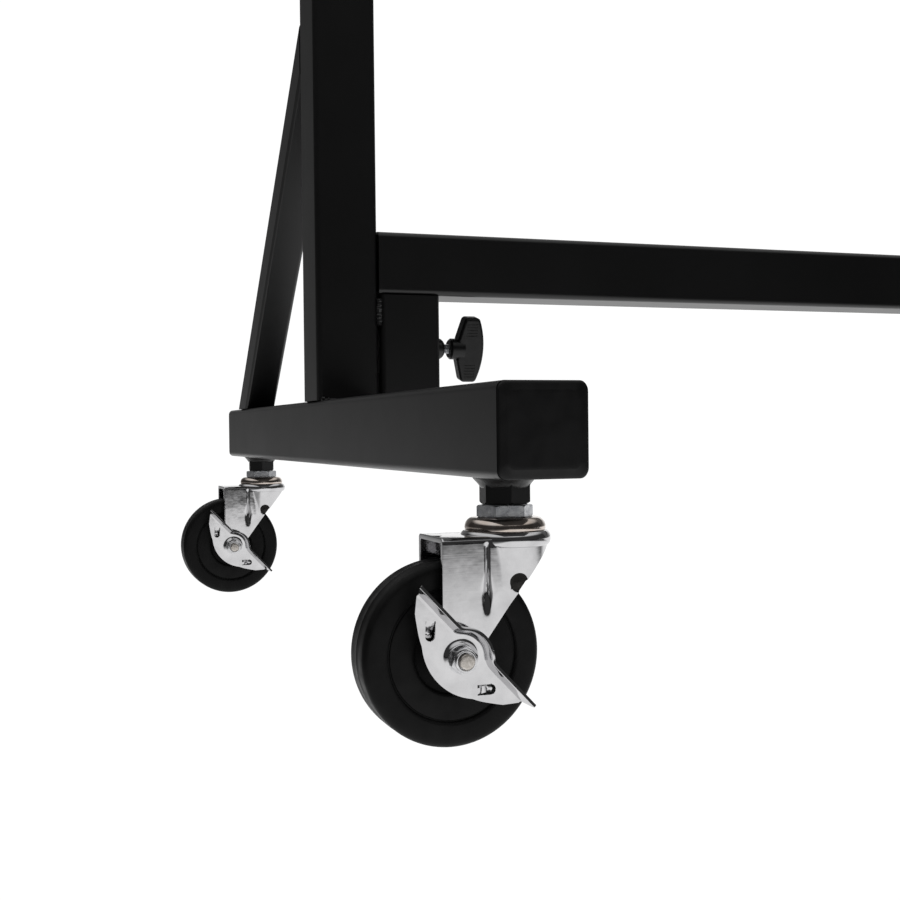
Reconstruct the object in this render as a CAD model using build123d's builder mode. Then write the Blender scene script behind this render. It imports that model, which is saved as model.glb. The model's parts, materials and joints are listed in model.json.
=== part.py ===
"""Rolling background support stand: two welded side frames on casters, joined by two lift-out crossbars.

Frame: millimetres, +Z up, -Y is the front, +X runs along the crossbars.
The origin is on the floor, midway between the side frames and midway along the feet.
"""

from build123d import *
from math import cos, radians, sin, sqrt, tan
import os

# --- overall size -----------------------------------------------------------------------------------------
crossbar_length = 2750.0  # a 2.72 m wide background hangs between the uprights
crossbar_end_gap = 1.0  # from each crossbar end to the upright beside it
total_height = 2400.0
foot_length = 800.0  # over the two end caps
upright_front = -20.0  # Y of the front face of the uprights, sockets and crossbars

# --- square tube ------------------------------------------------------------------------------------------
tube = 50.0
tube_wall = 2.5
tube_corner = 4.5  # outside corner radius
cap_thickness = 3.0  # what shows of each plastic end cap

brace_tube = 30.0
brace_wall = 2.0
brace_corner = 3.0
brace_foot_end = 338.0  # Y where the brace's upper rear edge meets the top of the foot

socket_length = 134.0
socket_gap = 2.0  # between a socket and the upright that it is welded to
spacer_height = 22.0
spacer_width = 36.0

peg_tube = 44.0  # slides in the 45 mm square bore of a socket
peg_wall = 3.0
peg_corner = 4.0
peg_length = 100.0

# --- clamp knobs ------------------------------------------------------------------------------------------
knob_height_on_socket = 93.0  # above the bottom of the socket
clamp_thread_radius = 4.0  # M8
clamp_bore_radius = 4.05
clamp_thread_pitch = 1.25
clamp_thread_depth = 0.55
clamp_thread_lead_in = 1.5  # in pitches, from the stud's end to the middle of its first groove
clamp_wall_hole_radius = 4.3
clamp_nut_length = 10.5
clamp_nut_barrel = 7.0  # length of its round barrel, before it narrows to the nose
clamp_nut_radius = 8.7
clamp_nut_nose_radius = 5.4
pad_radius = 3.6
pad_length = 2.3
pad_peg_clearance = 0.05
pad_stud_gap = 0.05
pad_chamfer = 0.3
stud_in_wing = 8.0  # how far the stud is moulded into the wing
collar_start = 15.2  # from the face of the socket
collar_radius = 8.7
wing_start = 21.7
wing_end = 44.7
wing_height = 54.0
wing_tip_start = 26.7
wing_tip_end = 39.2
wing_thickness = 13.0
wing_rest_turn = 15.0  # degrees from upright
wing_tip_round = 3.5
wing_edge_round = 2.5
collar_sunk = 6.0  # how far the collar runs into the wing
collar_chamfer = 1.6
ridge_count = 5
ridge_spacing = 2.4
ridge_width = 1.0
ridge_depth = 0.6
ridge_length = 9.0
ridge_tip_margin = 5.0  # from the tip of the wing to its first ridge

# --- casters ----------------------------------------------------------------------------------------------
caster_height = 141.5  # from the floor to the underside of the foot
caster_inset = 55.0  # from the end of the foot to the stem
wheel_radius = 49.0
wheel_width = 27.0
wheel_shoulder = 4.0
outer_ring_radius = 35.0
inner_ring_radius = 21.7
wheel_ring_slope = 1.0  # how much the rings widen over the depth of their steps
wheel_web_step = 1.2  # how far the web lies below the tread's side
wheel_recess = 3.0
hub_radius = 12.0
hub_end_gap = 0.5  # between the hub and each leg of the fork
axle_trail = 35.2  # horizontal distance from the stem to the axle
axle_height = wheel_radius - caster_height  # Z from the underside of the foot

stem_radius = 8.0  # M16
stem_bore_radius = 8.05
stem_tube_hole_radius = 8.5
stem_above_foot = 10.0
stem_chamfer = 1.2
weld_nut_flats = 24.7
weld_nut_turn = 23.0
weld_nut_length = 15.0
weld_flare_length = 5.5
weld_flare_radius = 17.2
stem_hex_flats = 27.0
stem_hex_turn = -10.0
stem_hex_bottom = -21.7
king_pin_radius = 6.0
king_pin_bore_radius = 6.06
king_pin_head_radius = 11.0
king_pin_head_top = -33.6
king_pin_head_bottom = -36.8

raceway_radius = 22.0
raceway_flat_radius = 14.5
raceway_bottom = -28.6
raceway_sheet = 2.0
ball_radius = 2.0
ball_circle_radius = 15.5
ball_count = 20
ball_clearance = 0.03

fork_top = -30.7
fork_sheet = 2.6
fork_plate_bottom = fork_top - fork_sheet
fork_cup_radius = 24.6
fork_cup_top = -28.2
fork_cup_bottom = -36.6
fork_cup_width = 2.4
fork_cup_round = 1.1
fork_half_width = 19.5
fork_front_radius = 23.4  # of the front wall, just below the cup
fork_front_taper = 5.5  # degrees by which the front wall narrows on its way down
fork_rear = -42.8  # X of the open rear edges of the legs
fork_leg_bottom = -99.5
fork_leg_bottom_front = -29.5  # X where the sloping front edge reaches the leg's bottom
fork_slope = 53.5  # degrees of the sloping front edge above the floor
fork_leg_round = 6.0
fork_dimple_radius = 5.2
fork_dimple_x = -0.6
fork_dimple_z = -55.4
fork_dimple_floor = 18.6  # from the middle of the fork to the flat bottom of each dimple

axle_radius = 4.0  # M8
axle_bore_radius = 4.05
sleeve_radius = 6.0
wheel_bore_radius = 6.06
axle_head_length = 5.3
axle_nut_length = 6.5
axle_nut_turn = 11.0
axle_nut_chamfer = 0.6
axle_flats = 13.0
axle_end = 35.5  # from the middle of the wheel
axle_chamfer = 0.7
sleeve_end_gap = 0.05
sleeve_half_length = fork_half_width - fork_sheet - sleeve_end_gap
spacer_radius = 8.0

lever_inner_face = 22.5  # from the middle of the wheel
lever_sheet = 2.0
lever_lean = 43.4  # degrees of the lever's line of symmetry above the floor
lever_bore_radius = 4.06
lever_flange_height = 5.0
lever_flange_sheet = 1.8
lever_flange_inset = 1.0  # how far the flange's end pieces run into the flange itself
lever_upper_overhang = 3.5  # how far the flange runs past the upper end of the plate
lever_lower_overhang = 6.0
lever_play = 0.05
lever_half_length = 40.5
lever_crest_radius = 15.0
lever_ear_height = 9.0  # of the ears' straight upper edge, above the axle
lever_toe = 34.7
lever_toe_height = -0.8
lever_heel = (27.5, -5.8)
lever_heel_end = (20.0, -10.2)
lever_belly = 17.0
lever_belly_radius = 31.7
lever_neck_round = 6.0
lever_window_x = 22.2
lever_window_y = -1.4
lever_window_length = 10.2
lever_window_width = 5.4
lever_boss_radius = 9.5
lever_boss_height = 1.4

# --- places worked out from the sizes above ---------------------------------------------------------------
side_frame_x = crossbar_length / 2 + crossbar_end_gap + tube / 2  # middle of the uprights
socket_x = side_frame_x - tube - socket_gap
foot_bottom = caster_height
foot_top = foot_bottom + tube
frame_y = upright_front + tube / 2  # middle of the uprights, sockets and crossbars
upright_top = total_height - cap_thickness
foot_tube_end = foot_length / 2 - cap_thickness
caster_y = foot_length / 2 - caster_inset
lower_socket_bottom = foot_bottom
upper_socket_bottom = upright_top - tube - socket_length
socket_bottoms = {"lower": lower_socket_bottom, "upper": upper_socket_bottom}

caster_spots = {
    "front_left": Location((-side_frame_x, -caster_y, foot_bottom)),
    "rear_left": Location((-side_frame_x, caster_y, foot_bottom)),
    "front_right": Location((side_frame_x, -caster_y, foot_bottom), (0, 0, 180)),
    "rear_right": Location((side_frame_x, caster_y, foot_bottom), (0, 0, 180)),
}
knob_spots = {}
for level, bottom in socket_bottoms.items():
    knob_z = bottom + knob_height_on_socket
    knob_x = socket_x - tube / 2
    knob_spots[f"{level}_left"] = Location((-knob_x, frame_y, knob_z))
    knob_spots[f"{level}_right"] = Location((knob_x, frame_y, knob_z), (0, 0, 180))


def tube_section(size, wall, corner):
    """Draw a hollow square section with rounded corners in the open sketch."""
    RectangleRounded(size, size, corner)
    RectangleRounded(size - 2 * wall, size - 2 * wall, corner - wall, mode=Mode.SUBTRACT)


def write_piece(piece, name):
    """Label one finished piece and write it as its own STEP file."""
    piece.label = name
    export_step(piece, f"parts/{name}.step")


# === side frames ==========================================================================================
with BuildPart() as foot_tube:
    with BuildSketch(Plane.XZ.offset(-foot_tube_end)):
        with Locations((-side_frame_x, foot_bottom + tube / 2)):
            tube_section(tube, tube_wall, tube_corner)
    extrude(amount=2 * foot_tube_end)
    with Locations(
        (-side_frame_x, -caster_y, foot_bottom + tube_wall),
        (-side_frame_x, caster_y, foot_bottom + tube_wall),
    ):
        Hole(stem_tube_hole_radius, depth=tube_wall)

with BuildPart() as upright:
    with BuildSketch(Plane.XY.offset(foot_top)):
        with Locations((-side_frame_x, frame_y)):
            tube_section(tube, tube_wall, tube_corner)
    extrude(amount=upright_top - foot_top)

# The brace rises forward at 45 degrees, flush with the outer face of the side frame.
brace_axis_drop = brace_tube / 2
brace_rise = brace_foot_end - (upright_front + tube)
brace_middle_y = brace_foot_end - brace_rise / 2 - brace_axis_drop * sin(radians(45))
brace_middle_z = foot_top + brace_rise / 2 - brace_axis_drop * cos(radians(45))
brace_x = -side_frame_x - tube / 2 + brace_tube / 2
brace_plane = Plane(
    origin=(brace_x, brace_middle_y, brace_middle_z),
    x_dir=(1, 0, 0),
    z_dir=(0, -1, 1),
)
with BuildPart() as brace:
    with BuildSketch(brace_plane):
        tube_section(brace_tube, brace_wall, brace_corner)
    extrude(amount=brace_rise, both=True)
    split(bisect_by=Plane.XY.offset(foot_top), keep=Keep.TOP)
    split(bisect_by=Plane.XZ.offset(-(upright_front + tube)), keep=Keep.BOTTOM)

sockets = {}
for level, bottom in socket_bottoms.items():
    with BuildPart() as socket:
        with BuildSketch(Plane.XY.offset(bottom)):
            with Locations((-socket_x, frame_y)):
                tube_section(tube, tube_wall, tube_corner)
        extrude(amount=socket_length)
        # The clamp screw passes through the face that looks at the other side frame.
        with BuildSketch(Plane.YZ.offset(-socket_x + tube / 2)):
            with Locations((frame_y, bottom + knob_height_on_socket)):
                Circle(clamp_wall_hole_radius)
        extrude(amount=-tube_wall, mode=Mode.SUBTRACT)
    sockets[level] = socket.part

with BuildPart() as socket_spacers:
    for side in (-1, 1):
        for bottom in socket_bottoms.values():
            low = bottom + tube + spacer_height / 2
            high = bottom + socket_length - spacer_height / 2
            spacer_x = side * (side_frame_x - tube / 2 - socket_gap / 2)
            with Locations((spacer_x, frame_y, low), (spacer_x, frame_y, high)):
                Box(socket_gap, spacer_width, spacer_height)

# --- plastic end caps: a soft-edged head and a hollow plug that grips the bore of the tube ---
plug_clearance = 0.1
plug_size = tube - 2 * tube_wall - plug_clearance
plug_wall = 2.2
plug_depth = 16.0
plug_corner = 3.0
cap_head_corner = 6.0
cap_edge_round = 1.8
with BuildPart() as end_cap:
    with BuildSketch():
        RectangleRounded(tube, tube, cap_head_corner)
    extrude(amount=cap_thickness)
    fillet(end_cap.faces().sort_by(Axis.Z)[-1].edges(), cap_edge_round)
    with BuildSketch():
        tube_section(plug_size, plug_wall, plug_corner)
    extrude(amount=-plug_depth)

with BuildPart() as foot_end_caps:
    for side in (-1, 1):
        front = Location((side * side_frame_x, -foot_tube_end, foot_bottom + tube / 2), (90, 0, 0))
        rear = Location((side * side_frame_x, foot_tube_end, foot_bottom + tube / 2), (-90, 0, 0))
        add(end_cap.part.moved(front))
        add(end_cap.part.moved(rear))

with BuildPart() as upright_top_caps:
    for side in (-1, 1):
        add(end_cap.part.moved(Location((side * side_frame_x, frame_y, upright_top))))

# --- weld nuts: M16 under the feet for the casters, M8 on the sockets for the clamp screws ---
with BuildPart() as caster_weld_nut:
    with BuildSketch():
        RegularPolygon(weld_nut_flats / 2, 6, major_radius=False, rotation=weld_nut_turn)
    extrude(amount=-weld_nut_length)
    with BuildSketch() as flare_top:
        Circle(weld_flare_radius)
    with BuildSketch(Plane.XY.offset(-weld_flare_length)) as flare_bottom:
        Circle(weld_nut_flats / 2)
    loft()
    Hole(stem_bore_radius)

with BuildPart() as caster_weld_nuts:
    for spot in caster_spots.values():
        add(caster_weld_nut.part.moved(spot))

with BuildPart() as clamp_weld_nut:
    with BuildSketch(Plane.YZ):
        Circle(clamp_nut_radius)
    extrude(amount=clamp_nut_barrel)
    with BuildSketch(Plane.YZ.offset(clamp_nut_barrel)):
        Circle(clamp_nut_radius)
    with BuildSketch(Plane.YZ.offset(clamp_nut_length)):
        Circle(clamp_nut_nose_radius)
    loft()
    with BuildSketch(Plane.YZ):
        Circle(clamp_bore_radius)
    extrude(amount=clamp_nut_length, mode=Mode.SUBTRACT)

with BuildPart() as clamp_weld_nuts:
    for spot in knob_spots.values():
        add(clamp_weld_nut.part.moved(spot))

# === crossbars ============================================================================================
crossbars = {}
crossbar_pegs = {}
for level, bottom in socket_bottoms.items():
    crossbar_bottom = bottom + socket_length
    with BuildPart() as crossbar_tube:
        with BuildSketch(Plane.YZ.offset(-crossbar_length / 2)):
            with Locations((frame_y, crossbar_bottom + tube / 2)):
                tube_section(tube, tube_wall, tube_corner)
        extrude(amount=crossbar_length)
    crossbars[level] = crossbar_tube.part

    with BuildPart() as pegs:
        with BuildSketch(Plane.XY.offset(crossbar_bottom)):
            with Locations((-socket_x, frame_y), (socket_x, frame_y)):
                tube_section(peg_tube, peg_wall, peg_corner)
        extrude(amount=-peg_length)
    crossbar_pegs[level] = pegs.part

# === clamp knob, along +X from the face of the socket =====================================================
pad_start = -tube_wall - (tube - 2 * tube_wall - peg_tube) / 2 + pad_peg_clearance
stud_start = pad_start + pad_length + pad_stud_gap
stud_end = wing_start + stud_in_wing
with BuildPart() as clamp_pad:
    with BuildSketch(Plane.YZ.offset(pad_start)):
        Circle(pad_radius)
    extrude(amount=pad_length)
    chamfer(clamp_pad.edges().filter_by(GeomType.CIRCLE), pad_chamfer)

with BuildPart() as clamp_stud:
    with BuildSketch(Plane.YZ.offset(stud_start)):
        Circle(clamp_thread_radius)
    extrude(amount=stud_end - stud_start)
    chamfer(clamp_stud.edges().sort_by(Axis.X)[0], clamp_thread_depth)
    # The thread is cut as rings, one per pitch, over the length that leaves the knob.
    ring_count = int((collar_start - stud_start) / clamp_thread_pitch) - 1
    with BuildSketch(Plane.XY):
        for ring in range(ring_count):
            groove_x = stud_start + (ring + clamp_thread_lead_in) * clamp_thread_pitch
            with Locations((groove_x, clamp_thread_radius)):
                RegularPolygon(clamp_thread_depth, 4)
    revolve(axis=Axis.X, mode=Mode.SUBTRACT)

# The wing's outline is a T-grip: narrow rounded tips, a bulged outer side and a straight waist at the collar.
with BuildPart() as knob_wing:
    with BuildSketch(Plane.XZ) as wing_outline:
        with BuildLine():
            inner_side = Polyline(
                (wing_tip_start, wing_height / 2),
                (wing_start, collar_radius),
                (wing_start, -collar_radius),
                (wing_tip_start, -wing_height / 2),
                (wing_tip_end, -wing_height / 2),
            )
            outer_side = ThreePointArc(inner_side @ 1, (wing_end, 0), (wing_tip_end, wing_height / 2))
            Line(outer_side @ 1, inner_side @ 0)
        make_face()
        fillet(wing_outline.vertices().group_by(Axis.Y)[0], wing_tip_round)
        fillet(wing_outline.vertices().group_by(Axis.Y)[-1], wing_tip_round)
    extrude(amount=wing_thickness / 2, both=True)
    fillet(knob_wing.faces().sort_by(Axis.Y)[0].edges(), wing_edge_round)
    fillet(knob_wing.faces().sort_by(Axis.Y)[-1].edges(), wing_edge_round)
    with BuildSketch(Plane.YZ.offset(collar_start)):
        Circle(collar_radius)
    extrude(amount=wing_start + collar_sunk - collar_start)
    chamfer(knob_wing.faces().sort_by(Axis.X)[0].edges(), collar_chamfer)
    with BuildSketch(Plane.YZ.offset(collar_start)):
        Circle(clamp_thread_radius)
    extrude(amount=stud_end - collar_start, mode=Mode.SUBTRACT)
    # Two rows of finger ridges are cut across each face of the wing, near the tips.
    for face_side in (-1, 1):
        for tip_side in (-1, 1):
            for ridge in range(ridge_count):
                ridge_z = tip_side * (wing_height / 2 - ridge_tip_margin - ridge * ridge_spacing)
                ridge_x = (wing_tip_start + wing_tip_end) / 2
                with Locations((ridge_x, face_side * wing_thickness / 2, ridge_z)):
                    Box(ridge_length, 2 * ridge_depth, ridge_width, mode=Mode.SUBTRACT)

# === caster: origin on the stem's axis at the underside of the foot; the wheel trails towards -X ===========
axle_point = (-axle_trail, 0, axle_height)
axle_line = Axis(axle_point, (0, 1, 0))


def across_axle(distance):
    """The plane square to the axle, that far from the wheel's middle towards the lever, facing the lever."""
    return Plane(origin=(-axle_trail, -distance, axle_height), x_dir=(1, 0, 0), z_dir=(0, -1, 0))


with BuildPart() as caster_stem:
    with BuildSketch(Plane.XY.offset(stem_hex_bottom)):
        RegularPolygon(stem_hex_flats / 2, 6, major_radius=False, rotation=stem_hex_turn)
    extrude(amount=-weld_nut_length - stem_hex_bottom)
    with BuildSketch(Plane.XY.offset(-weld_nut_length)):
        Circle(stem_radius)
    extrude(amount=weld_nut_length + stem_above_foot)
    chamfer(caster_stem.edges().sort_by(Axis.Z)[-1], stem_chamfer)
    with BuildSketch(Plane.XY.offset(stem_hex_bottom)):
        Circle(king_pin_radius)
    extrude(amount=king_pin_head_bottom - stem_hex_bottom)
    with BuildSketch(Plane.XY.offset(king_pin_head_bottom)):
        Circle(king_pin_head_radius)
    extrude(amount=king_pin_head_top - king_pin_head_bottom)
    chamfer(caster_stem.edges().sort_by(Axis.Z)[0], stem_chamfer)

with BuildPart() as caster_stems:
    for spot in caster_spots.values():
        add(caster_stem.part.moved(spot))

# The cap is a pressed dome that covers the ball race.
with BuildPart() as raceway_cap:
    with BuildSketch(Plane.XZ):
        with BuildLine():
            dome = TangentArc(
                (raceway_flat_radius, stem_hex_bottom), (raceway_radius, raceway_bottom), tangent=(1, 0)
            )
            hollow = TangentArc(
                (raceway_flat_radius, stem_hex_bottom - raceway_sheet),
                (raceway_radius - raceway_sheet, raceway_bottom),
                tangent=(1, 0),
            )
            Line(dome @ 1, hollow @ 1)
            Polyline(
                hollow @ 0,
                (king_pin_radius, stem_hex_bottom - raceway_sheet),
                (king_pin_radius, stem_hex_bottom),
                dome @ 0,
            )
        make_face()
    revolve(axis=Axis.Z)

with BuildPart() as raceway_caps:
    for spot in caster_spots.values():
        add(raceway_cap.part.moved(spot))

with BuildPart() as swivel_balls:
    with PolarLocations(ball_circle_radius, ball_count):
        with Locations((0, 0, fork_top + ball_radius + ball_clearance)):
            Sphere(ball_radius)

# The fork is one pressing: a flat top inside a round cup, two flat legs at the rear, and a front wall
# that leaves the cup wider than the legs and narrows on its way down.
leg_drop = fork_top - fork_leg_bottom
slope_rise = fork_plate_bottom - fork_leg_bottom
slope_top_x = fork_leg_bottom_front + slope_rise / tan(radians(fork_slope))
leg_middle_x = fork_rear / 2
with BuildPart() as fork:
    with BuildSketch(Plane.XY.offset(fork_top)):
        Circle(fork_front_radius)
    extrude(amount=-leg_drop, taper=fork_front_taper)
    with BuildSketch(Plane.XY.offset(fork_top)):
        with Locations((leg_middle_x, 0)):
            Rectangle(-fork_rear, 2 * fork_half_width)
    extrude(amount=-leg_drop)
    with BuildSketch(Plane.XY.offset(fork_top)):
        Circle(fork_front_radius - fork_sheet)
    extrude(amount=-leg_drop, taper=fork_front_taper, mode=Mode.SUBTRACT)
    with BuildSketch(Plane.XY.offset(fork_top)):
        with Locations((leg_middle_x, 0)):
            Rectangle(-fork_rear, 2 * (fork_half_width - fork_sheet))
    extrude(amount=-leg_drop, mode=Mode.SUBTRACT)
    with BuildSketch(Plane.XZ) as side_view:
        with BuildLine():
            Polyline(
                (fork_rear, fork_top),
                (fork_front_radius, fork_top),
                (slope_top_x, fork_plate_bottom),
                (fork_leg_bottom_front, fork_leg_bottom),
                (fork_rear, fork_leg_bottom),
                close=True,
            )
        make_face()
        fillet(side_view.vertices().group_by(Axis.Y)[0], fork_leg_round)
    extrude(amount=fork_cup_radius, both=True, mode=Mode.INTERSECT)
    with BuildSketch(Plane.XY.offset(fork_top)):
        Circle(fork_cup_radius - fork_cup_width / 2)
        with Locations((leg_middle_x, 0)):
            Rectangle(-fork_rear, 2 * fork_half_width)
    extrude(amount=-fork_sheet)
    with BuildSketch(Plane.XZ):
        with Locations((fork_cup_radius - fork_cup_width / 2, (fork_cup_top + fork_cup_bottom) / 2)):
            RectangleRounded(fork_cup_width, fork_cup_top - fork_cup_bottom, fork_cup_round)
    revolve(axis=Axis.Z)
    with Locations((0, 0, fork_top)):
        Hole(king_pin_bore_radius, depth=fork_sheet)
    with BuildSketch(across_axle(0)):
        Circle(axle_bore_radius)
    extrude(amount=fork_cup_radius, both=True, mode=Mode.SUBTRACT)
    # A round dimple beside the sloping edge is sunk into the wall on each side.
    for side in (-1, 1):
        with BuildSketch(Plane.XZ.offset(-side * fork_dimple_floor)):
            with Locations((fork_dimple_x, fork_dimple_z)):
                Circle(fork_dimple_radius)
        extrude(amount=-side * fork_cup_radius, mode=Mode.SUBTRACT)

# The bolt's head is behind the fork; the spacer, the lever and the nut are in front of it.
with BuildPart() as axle_fasteners:
    with BuildSketch(across_axle(-fork_half_width)):
        RegularPolygon(axle_flats / 2, 6, major_radius=False)
    extrude(amount=-axle_head_length)
    with BuildSketch(across_axle(-fork_half_width)):
        Circle(axle_radius)
    extrude(amount=fork_half_width + axle_end)
    chamfer(axle_fasteners.edges().sort_by(Axis.Y)[0], axle_chamfer)

with BuildPart() as axle_spacer:
    with BuildSketch(across_axle(fork_half_width)):
        Circle(spacer_radius)
        Circle(axle_bore_radius, mode=Mode.SUBTRACT)
    extrude(amount=lever_inner_face - lever_play - fork_half_width)

nut_face = lever_inner_face + lever_sheet + lever_boss_height + lever_play
with BuildPart() as axle_nut:
    with BuildSketch(across_axle(nut_face)):
        RegularPolygon(axle_flats / 2, 6, major_radius=False, rotation=axle_nut_turn)
        Circle(axle_bore_radius, mode=Mode.SUBTRACT)
    extrude(amount=axle_nut_length)
    nut_corners = axle_nut.faces().sort_by(Axis.Y)[0].outer_wire().edges()
    chamfer(nut_corners, axle_nut_chamfer)

with BuildPart() as axle_set:
    add(axle_fasteners.part)
    add(axle_spacer.part)
    add(axle_nut.part)

with BuildPart() as axle_sleeve:
    with BuildSketch(across_axle(-sleeve_half_length)):
        Circle(sleeve_radius)
        Circle(axle_bore_radius, mode=Mode.SUBTRACT)
    extrude(amount=2 * sleeve_half_length)

# Half of the wheel's section, in (distance along the axle, radius), mirrored and revolved.
with BuildPart() as wheel:
    with BuildSketch(Plane(origin=axle_point, x_dir=(0, 1, 0), z_dir=(1, 0, 0))):
        with BuildLine():
            half_width = wheel_width / 2
            hub_end = fork_half_width - fork_sheet - hub_end_gap
            Polyline(
                (0, wheel_bore_radius),
                (hub_end, wheel_bore_radius),
                (hub_end, hub_radius),
                (half_width - wheel_recess, hub_radius + wheel_ring_slope),
                (half_width - wheel_recess, inner_ring_radius - wheel_ring_slope),
                (half_width - wheel_web_step, inner_ring_radius),
                (half_width - wheel_web_step, outer_ring_radius),
                (half_width, outer_ring_radius + wheel_ring_slope),
                (half_width, wheel_radius - wheel_shoulder),
            )
            shoulder = RadiusArc(
                (half_width, wheel_radius - wheel_shoulder),
                (half_width - wheel_shoulder, wheel_radius),
                -wheel_shoulder,
            )
            Line(shoulder @ 1, (0, wheel_radius))
            mirror(about=Plane.YZ)
        make_face()
    revolve(axis=axle_line)

# The lever's own axes: x runs along it towards its lower front end, y is its line of symmetry.
lever_plane = Plane(
    origin=(-axle_trail, -lever_inner_face, axle_height),
    x_dir=(sin(radians(lever_lean)), 0, -cos(radians(lever_lean))),
    z_dir=(0, -1, 0),
)
flange_top_x = -lever_half_length + lever_flange_inset
flange_end_x = lever_half_length - lever_flange_inset
with BuildPart() as brake_lever:
    with BuildSketch(lever_plane) as lever_outline:
        with BuildLine():
            neck = (sqrt(lever_crest_radius**2 - lever_ear_height**2), lever_ear_height)
            crest = RadiusArc((0, lever_crest_radius), neck, lever_crest_radius)
            ear = Polyline(crest @ 1, (lever_half_length, lever_ear_height), (lever_toe, lever_toe_height))
            heel = ThreePointArc(ear @ 1, lever_heel, lever_heel_end)
            RadiusArc(heel @ 1, (0, -lever_belly), lever_belly_radius)
            mirror(about=Plane.YZ)
        make_face()
        mirrored_neck = (-neck[0], neck[1])
        fillet(lever_outline.vertices().sort_by_distance(neck)[0], lever_neck_round)
        fillet(lever_outline.vertices().sort_by_distance(mirrored_neck)[0], lever_neck_round)
    extrude(amount=lever_sheet)
    with BuildSketch(lever_plane.offset(lever_sheet)):
        add(lever_outline.sketch_local)
        offset(lever_outline.sketch_local, amount=-lever_flange_sheet, mode=Mode.SUBTRACT)
        with Locations((0, lever_ear_height - lever_flange_sheet)):
            Rectangle(3 * lever_half_length, lever_crest_radius * 2, align=(Align.CENTER, Align.MIN),
                      mode=Mode.INTERSECT)
        flange_y = lever_ear_height - lever_flange_sheet / 2
        with Locations((flange_top_x, flange_y)):
            Rectangle(lever_upper_overhang + lever_flange_inset, lever_flange_sheet,
                      align=(Align.MAX, Align.CENTER))
        with Locations((flange_end_x, flange_y)):
            Rectangle(lever_lower_overhang + lever_flange_inset, lever_flange_sheet,
                      align=(Align.MIN, Align.CENTER))
    extrude(amount=lever_flange_height)
    with BuildSketch(lever_plane.offset(lever_sheet)):
        Circle(lever_boss_radius)
    extrude(amount=lever_boss_height)
    with BuildSketch(lever_plane):
        Circle(lever_bore_radius)
        for window_side in (-1, 1):
            window_turn = window_side * (90 - lever_lean)
            with Locations(Location((window_side * lever_window_x, lever_window_y), window_turn)):
                SlotOverall(lever_window_length, lever_window_width)
    extrude(amount=lever_sheet + lever_boss_height, mode=Mode.SUBTRACT)

# === write every piece ====================================================================================
os.makedirs("parts", exist_ok=True)

side_pieces = {
    "foot_tube": foot_tube.part,
    "upright": upright.part,
    "brace": brace.part,
    "lower_socket": sockets["lower"],
    "upper_socket": sockets["upper"],
}
for name, piece in side_pieces.items():
    write_piece(piece, f"left_{name}")
    write_piece(mirror(piece, about=Plane.YZ), f"right_{name}")

write_piece(socket_spacers.part, "socket_spacers")
write_piece(foot_end_caps.part, "foot_end_caps")
write_piece(upright_top_caps.part, "upright_top_caps")
write_piece(caster_weld_nuts.part, "caster_weld_nuts")
write_piece(clamp_weld_nuts.part, "clamp_weld_nuts")
write_piece(caster_stems.part, "caster_stems")
write_piece(raceway_caps.part, "raceway_caps")

for level in socket_bottoms:
    write_piece(crossbars[level], f"{level}_crossbar_tube")
    write_piece(crossbar_pegs[level], f"{level}_crossbar_pegs")

for corner, spot in knob_spots.items():
    turned = spot * Location((0, 0, 0), (wing_rest_turn, 0, 0))
    write_piece(clamp_pad.part.moved(spot), f"{corner}_clamp_pad")
    write_piece(clamp_stud.part.moved(spot), f"{corner}_clamp_stud")
    write_piece(knob_wing.part.moved(turned), f"{corner}_knob_wing")

caster_pieces = {
    "swivel_balls": swivel_balls.part,
    "fork": fork.part,
    "axle_set": axle_set.part,
    "axle_sleeve": axle_sleeve.part,
    "wheel": wheel.part,
    "brake_lever": brake_lever.part,
}
for corner, spot in caster_spots.items():
    for name, piece in caster_pieces.items():
        write_piece(piece.moved(spot), f"{corner}_{name}")
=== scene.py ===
"""Looks for the rolling background support stand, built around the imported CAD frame. Units are metres."""

import json
import math

import bmesh
import bpy
import numpy as np
from mathutils import Matrix, Vector, noise


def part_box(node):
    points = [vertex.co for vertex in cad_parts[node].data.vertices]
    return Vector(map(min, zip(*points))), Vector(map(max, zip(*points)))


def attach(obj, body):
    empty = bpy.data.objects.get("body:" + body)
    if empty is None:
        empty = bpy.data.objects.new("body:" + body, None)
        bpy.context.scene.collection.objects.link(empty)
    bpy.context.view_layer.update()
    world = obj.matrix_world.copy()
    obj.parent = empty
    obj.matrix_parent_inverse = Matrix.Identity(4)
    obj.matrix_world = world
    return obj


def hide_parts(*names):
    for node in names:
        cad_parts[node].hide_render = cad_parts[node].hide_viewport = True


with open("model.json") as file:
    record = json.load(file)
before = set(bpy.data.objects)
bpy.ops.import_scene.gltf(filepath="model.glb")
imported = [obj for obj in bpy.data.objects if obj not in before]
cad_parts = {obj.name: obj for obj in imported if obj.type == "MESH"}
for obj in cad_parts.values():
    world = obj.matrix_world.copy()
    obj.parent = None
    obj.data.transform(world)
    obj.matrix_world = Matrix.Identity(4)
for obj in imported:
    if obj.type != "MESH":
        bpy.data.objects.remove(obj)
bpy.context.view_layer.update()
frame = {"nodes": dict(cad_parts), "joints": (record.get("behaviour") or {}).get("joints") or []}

MM = 0.001
JOINTS = {joint["name"]: joint for joint in frame["joints"]}
CORNERS = ("front_left", "rear_left", "front_right", "rear_right")
LEVELS = ("lower", "upper")
SIDES = (("left", -1), ("right", 1))
FRAME_BODY = "side_frames"
X_AXIS, Y_AXIS, Z_AXIS = Vector((1, 0, 0)), Vector((0, 1, 0)), Vector((0, 0, 1))

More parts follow.
